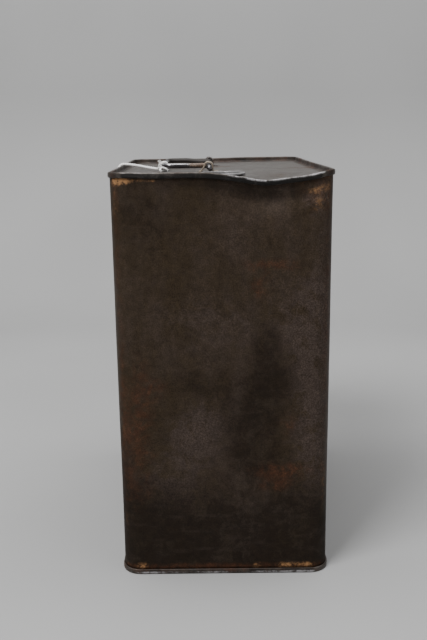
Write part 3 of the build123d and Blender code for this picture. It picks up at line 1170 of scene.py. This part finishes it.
def make_bail_knot():
    """Turns round the wire, a lump of a knot on its left, and two short cut tails."""
    low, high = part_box("bail_knot")
    y = (low[1] + high[1]) / 2
    grip_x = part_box("bail_wire")[0][0] + WIRE_R
    centre = Vector((grip_x, y, AXIS_Z))
    wrap_r = WIRE_R + STRING_D * 0.34
    shape = Shape()
    turns = []
    for k in range(73):
        a = math.radians(215 - 470 * k / 72)
        along = -0.8 + 1.6 * k / 72
        turns.append(centre + Vector((math.cos(a) * wrap_r, along * MM, math.sin(a) * wrap_r)))
    add_rope(shape, turns, STRING_D * 0.75)
    lump = centre + Vector((-2.1, -1.4, -1.9)) * MM
    loop = [lump + Vector((p * 0.37, r * 0.6, q * 0.34)) * MM for p, q, r in trefoil()]
    add_rope(shape, loop, STRING_D * 0.78)
    for route, seed in (
        ([(-0.9, 0, 0.2), (-1.0, -0.5, 1.5), (-0.6, -0.9, 2.8), (-0.2, -1.1, 3.6)], 0.4),
        ([(0.9, -0.4, 0.2), (0.6, -0.8, 1.5), (0.0, -1.1, 2.8), (-0.5, -1.2, 3.8)], 3.0),
        ([(0.4, -1.0, 0.4), (1.5, -3.4, 1.0), (2.8, -5.2, 0.7), (4.0, -5.8, -0.1)], 2.1),
        ([(-0.2, -1.0, -0.2), (-0.1, -2.4, -0.5), (0.1, -4.0, -0.7), (0.3, -5.4, -0.75)], 5.0),
    ):
        points = [lump + Vector(p) * MM for p in route]
        add_rope(shape, points, STRING_D * 0.72)
        add_fray(shape, points[-1], points[-1] - points[-2], 8, 1.3 * MM, seed)
    knot = shape.make("string_knot_start", cotton)
    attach(knot, "bail")
    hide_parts("bail_knot")
    return knot


# ---- Camera ----
CAMERA_PLACE = (-3.9 * MM, -513.9 * MM, 251.7 * MM)
CAMERA_LENS = 45.85  # on a sensor 36 mm along its long side
CAMERA_TILT = math.radians(13.56)
CAMERA_YAW = math.radians(-0.17)
CAMERA_ROLL = math.radians(-0.71)


def make_camera():
    data = bpy.data.cameras.new("camera")
    data.lens = CAMERA_LENS
    data.sensor_width = 36.0
    data.clip_start, data.clip_end = 0.01, 20
    camera = bpy.data.objects.new("camera", data)
    bpy.context.scene.collection.objects.link(camera)
    ahead = Vector(
        (
            math.sin(CAMERA_YAW) * math.cos(CAMERA_TILT),
            math.cos(CAMERA_YAW) * math.cos(CAMERA_TILT),
            -math.sin(CAMERA_TILT),
        )
    )
    level = Vector((math.cos(CAMERA_YAW), -math.sin(CAMERA_YAW), 0))
    upright = level.cross(ahead)
    right = level * math.cos(CAMERA_ROLL) + upright * math.sin(CAMERA_ROLL)
    up = upright * math.cos(CAMERA_ROLL) - level * math.sin(CAMERA_ROLL)
    turn = Matrix((right, up, -ahead)).transposed()
    camera.matrix_world = Matrix.Translation(CAMERA_PLACE) @ turn.to_4x4()
    bpy.context.scene.camera = camera


# ---- Stage and light ----
def make_stage():
    """A pale floor that curves up into a wall behind the tin. It is painted paler far in front, as painted
    light where the lamps reach it less.
    """
    front, bend, curve, top, half_width = -6.0, 0.5, 0.3, 2.6, 6.0
    shape = Shape()
    profile = [(front, 0.0), (-1.6, 0.0), (bend, 0.0)]
    for k in range(1, 13):
        a = math.radians(90 * k / 12)
        profile.append((bend + curve * math.sin(a), curve - curve * math.cos(a)))
    profile.append((bend + curve, top))
    shape.grid([[(-half_width, y, z), (half_width, y, z)] for y, z in profile])
    m = Material("backdrop", roughness=0.9)
    tone = m.noise(3, 2, 0.5)
    color = m.mix(m.between(tone, 0.3, 0.7), (0.315, 0.315, 0.315), (0.345, 0.345, 0.345))
    # Painted light: paler where the floor lies far in front.
    color = m.mix(m.between(m.along_y(), -0.8, -2.2), color, (0.80, 0.80, 0.80))
    stage = shape.make("backdrop", m.finish(color))


def area_light(name, place, target, size, power):
    data = bpy.data.lights.new(name, "AREA")
    data.shape = "RECTANGLE"
    data.size, data.size_y = size
    data.energy = power
    light = bpy.data.objects.new(name, data)
    bpy.context.scene.collection.objects.link(light)
    light.location = place
    light.rotation_euler = (Vector(target) - Vector(place)).to_track_quat("-Z", "Y").to_euler()


def make_light():
    world = bpy.data.worlds.new("room")
    bpy.context.scene.world = world
    world.use_nodes = True
    background = world.node_tree.nodes["Background"]
    background.inputs["Color"].default_value = (0.92, 0.91, 0.90, 1)
    background.inputs["Strength"].default_value = 0.28
    area_light("key", (-0.5, -0.6, 1.2), (0, 0, 0.18), (0.5, 0.5), 20)
    area_light("fill", (1.1, -0.7, 0.9), (0, 0, 0.12), (1.0, 1.0), 5)
    area_light("back_wall", (0.0, 0.1, 1.7), (0, 0.8, 0.6), (1.6, 0.5), 25)


make_camera()
make_stage()
make_light()
make_body()
top_end = make_end("tin_top_end", True)
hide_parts("top_plate", "top_seam_compound")
bottom_end = make_end("tin_bottom_end", False)
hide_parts("bottom_plate", "bottom_seam_compound")
make_side_seam()
make_filler()
make_neck_solder()
make_lug("front_lug", lug_tin)
make_lug_solder("front_lug")
# The rear lug takes the darker end tin instead of the beige lug tin, as painted shade by the back rim.
make_lug("rear_lug", end_tin)
make_lug_solder("rear_lug")
make_bail()
make_string()
